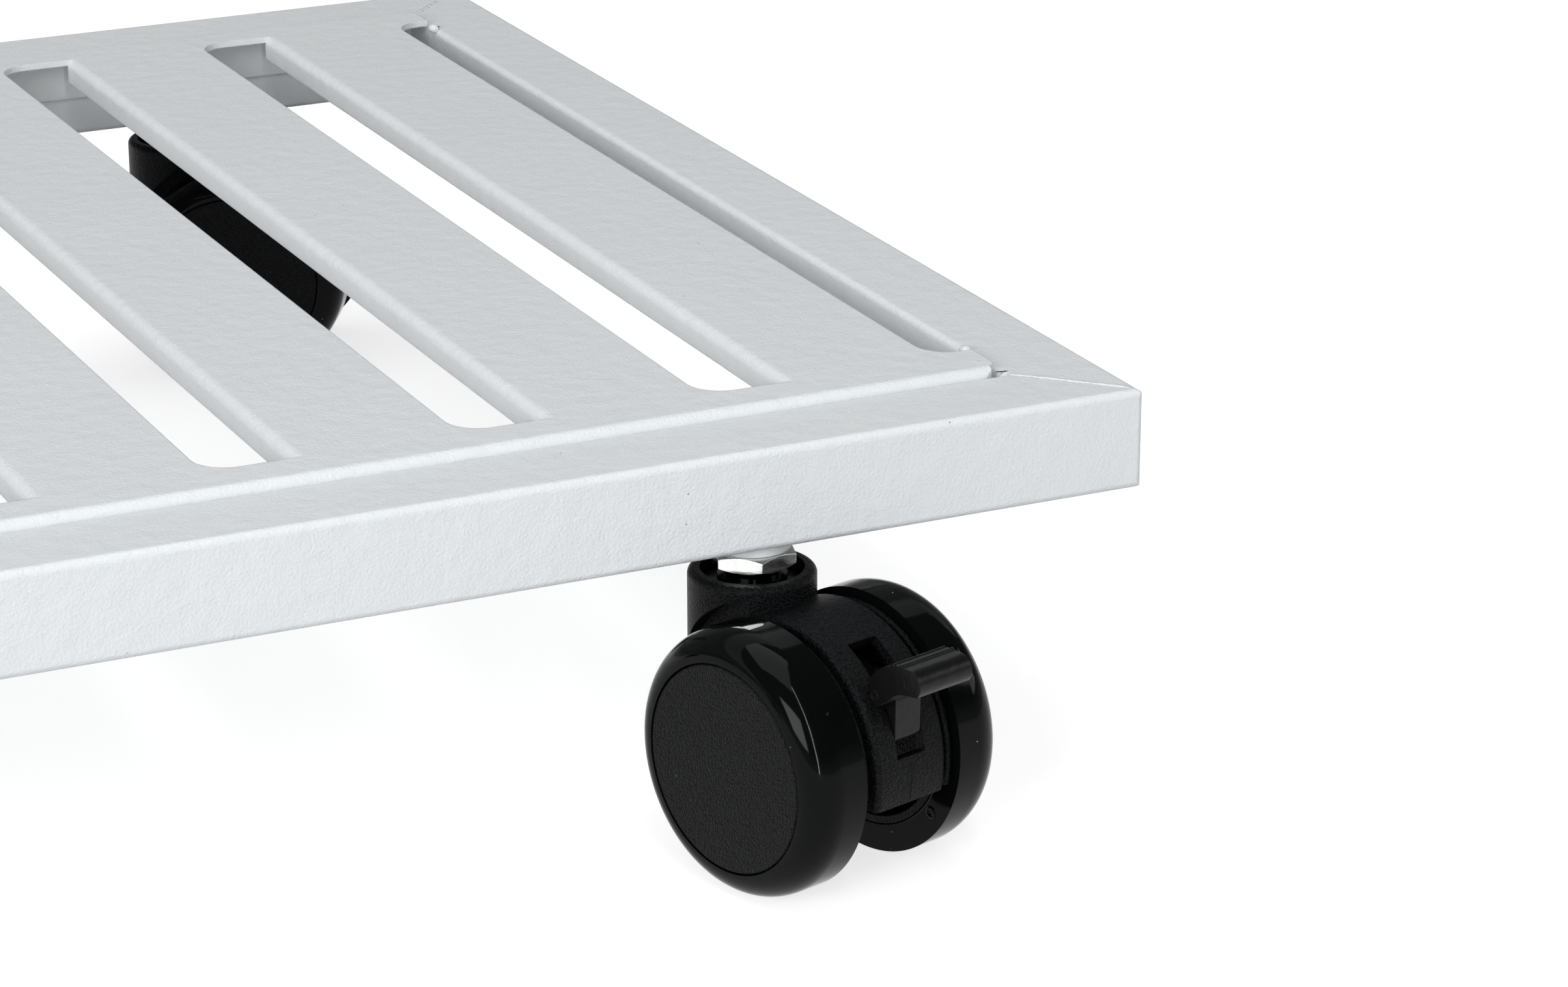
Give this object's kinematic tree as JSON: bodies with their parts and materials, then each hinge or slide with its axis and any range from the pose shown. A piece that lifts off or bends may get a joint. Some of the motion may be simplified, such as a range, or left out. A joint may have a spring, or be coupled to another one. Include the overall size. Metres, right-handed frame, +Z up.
{
  "type": "rolling plant shelf",
  "caption": "Low rolling plant shelf: slotted folded-sheet deck welded into a mitred square-tube frame, on four swivelling twin-wheel casters, the front two with foot brake levers.",
  "frame": {"origin": "on the floor under the middle of the shelf", "axes": "+X to the right along the long side, +Y from front to back, +Z up"},
  "size_m": [0.59, 0.43, 0.083],
  "materials": {
    "white_coat": "satin powder coat with fine orange peel",
    "zinc_steel": "bright zinc plate",
    "caster_plastic": "fine moulded texture",
    "lever_plastic": "smooth satin",
    "tyre_rubber": "smooth, slightly glossy tread"
  },
  "bodies": {
    "shelf": {"front_tube": "white_coat", "back_tube": "white_coat", "left_tube": "white_coat", "right_tube": "white_coat", "deck_plate": "white_coat", "threaded_inserts": "white_coat", "stem_clips": "zinc_steel", "front_right_stem": "zinc_steel", "front_left_stem": "zinc_steel", "back_left_stem": "zinc_steel", "back_right_stem": "zinc_steel"},
    "front_right_swivel": {"front_right_housing": "caster_plastic", "front_right_stem_sleeve": "zinc_steel", "front_right_axle": "zinc_steel", "front_right_brake_pin": "zinc_steel"},
    "front_right_left_wheel": {"front_right_left_hub": "caster_plastic", "front_right_left_tyre": "tyre_rubber", "front_right_left_cap": "caster_plastic"},
    "front_right_right_wheel": {"front_right_right_hub": "caster_plastic", "front_right_right_tyre": "tyre_rubber", "front_right_right_cap": "caster_plastic"},
    "front_right_lever": {"front_right_brake_lever": "lever_plastic", "front_right_brake_bar": "zinc_steel"},
    "front_left_swivel": {"front_left_housing": "caster_plastic", "front_left_stem_sleeve": "zinc_steel", "front_left_axle": "zinc_steel", "front_left_brake_pin": "zinc_steel"},
    "front_left_left_wheel": {"front_left_left_hub": "caster_plastic", "front_left_left_tyre": "tyre_rubber", "front_left_left_cap": "caster_plastic"},
    "front_left_right_wheel": {"front_left_right_hub": "caster_plastic", "front_left_right_tyre": "tyre_rubber", "front_left_right_cap": "caster_plastic"},
    "front_left_lever": {"front_left_brake_lever": "lever_plastic", "front_left_brake_bar": "zinc_steel"},
    "back_left_swivel": {"back_left_housing": "caster_plastic", "back_left_stem_sleeve": "zinc_steel", "back_left_axle": "zinc_steel"},
    "back_left_left_wheel": {"back_left_left_hub": "caster_plastic", "back_left_left_tyre": "tyre_rubber", "back_left_left_cap": "caster_plastic"},
    "back_left_right_wheel": {"back_left_right_hub": "caster_plastic", "back_left_right_tyre": "tyre_rubber", "back_left_right_cap": "caster_plastic"},
    "back_right_swivel": {"back_right_housing": "caster_plastic", "back_right_stem_sleeve": "zinc_steel", "back_right_axle": "zinc_steel"},
    "back_right_left_wheel": {"back_right_left_hub": "caster_plastic", "back_right_left_tyre": "tyre_rubber", "back_right_left_cap": "caster_plastic"},
    "back_right_right_wheel": {"back_right_right_hub": "caster_plastic", "back_right_right_tyre": "tyre_rubber", "back_right_right_cap": "caster_plastic"}
  },
  "joints": [
    {"name": "front_right_swivel", "type": "hinge", "parent": "shelf", "child": "front_right_swivel", "pos_m": [0.2166, -0.165, 0.045], "axis": [0, 0, 1], "continuous": true},
    {"name": "front_right_left_wheel_spin", "type": "hinge", "parent": "front_right_swivel", "child": "front_right_left_wheel", "pos_m": [0.22189, -0.18262, 0.026], "axis": [0.9578, 0.2874, 0], "continuous": true},
    {"name": "front_right_right_wheel_spin", "type": "hinge", "parent": "front_right_swivel", "child": "front_right_right_wheel", "pos_m": [0.22189, -0.18262, 0.026], "axis": [0.9578, 0.2874, 0], "continuous": true},
    {"name": "front_right_brake", "type": "hinge", "parent": "front_right_swivel", "child": "front_right_lever", "pos_m": [0.22476, -0.1922, 0.0335], "axis": [0.9578, 0.2874, 0], "range_deg": [-14, 8]},
    {"name": "front_left_swivel", "type": "hinge", "parent": "shelf", "child": "front_left_swivel", "pos_m": [-0.2166, -0.165, 0.045], "axis": [0, 0, 1], "continuous": true},
    {"name": "front_left_left_wheel_spin", "type": "hinge", "parent": "front_left_swivel", "child": "front_left_left_wheel", "pos_m": [-0.2322, -0.15525, 0.026], "axis": [-0.5299, -0.848, 0], "continuous": true},
    {"name": "front_left_right_wheel_spin", "type": "hinge", "parent": "front_left_swivel", "child": "front_left_right_wheel", "pos_m": [-0.2322, -0.15525, 0.026], "axis": [-0.5299, -0.848, 0], "continuous": true},
    {"name": "front_left_brake", "type": "hinge", "parent": "front_left_swivel", "child": "front_left_lever", "pos_m": [-0.24068, -0.14995, 0.0335], "axis": [-0.5299, -0.848, 0], "range_deg": [-14, 8]},
    {"name": "back_left_swivel", "type": "hinge", "parent": "shelf", "child": "back_left_swivel", "pos_m": [-0.2166, 0.165, 0.045], "axis": [0, 0, 1], "continuous": true},
    {"name": "back_left_left_wheel_spin", "type": "hinge", "parent": "back_left_swivel", "child": "back_left_left_wheel", "pos_m": [-0.22189, 0.18262, 0.026], "axis": [-0.9578, -0.2874, 0], "continuous": true},
    {"name": "back_left_right_wheel_spin", "type": "hinge", "parent": "back_left_swivel", "child": "back_left_right_wheel", "pos_m": [-0.22189, 0.18262, 0.026], "axis": [-0.9578, -0.2874, 0], "continuous": true},
    {"name": "back_right_swivel", "type": "hinge", "parent": "shelf", "child": "back_right_swivel", "pos_m": [0.2166, 0.165, 0.045], "axis": [0, 0, 1], "continuous": true},
    {"name": "back_right_left_wheel_spin", "type": "hinge", "parent": "back_right_swivel", "child": "back_right_left_wheel", "pos_m": [0.2322, 0.15525, 0.026], "axis": [0.5299, 0.848, 0], "continuous": true},
    {"name": "back_right_right_wheel_spin", "type": "hinge", "parent": "back_right_swivel", "child": "back_right_right_wheel", "pos_m": [0.2322, 0.15525, 0.026], "axis": [0.5299, 0.848, 0], "continuous": true}
  ]
}
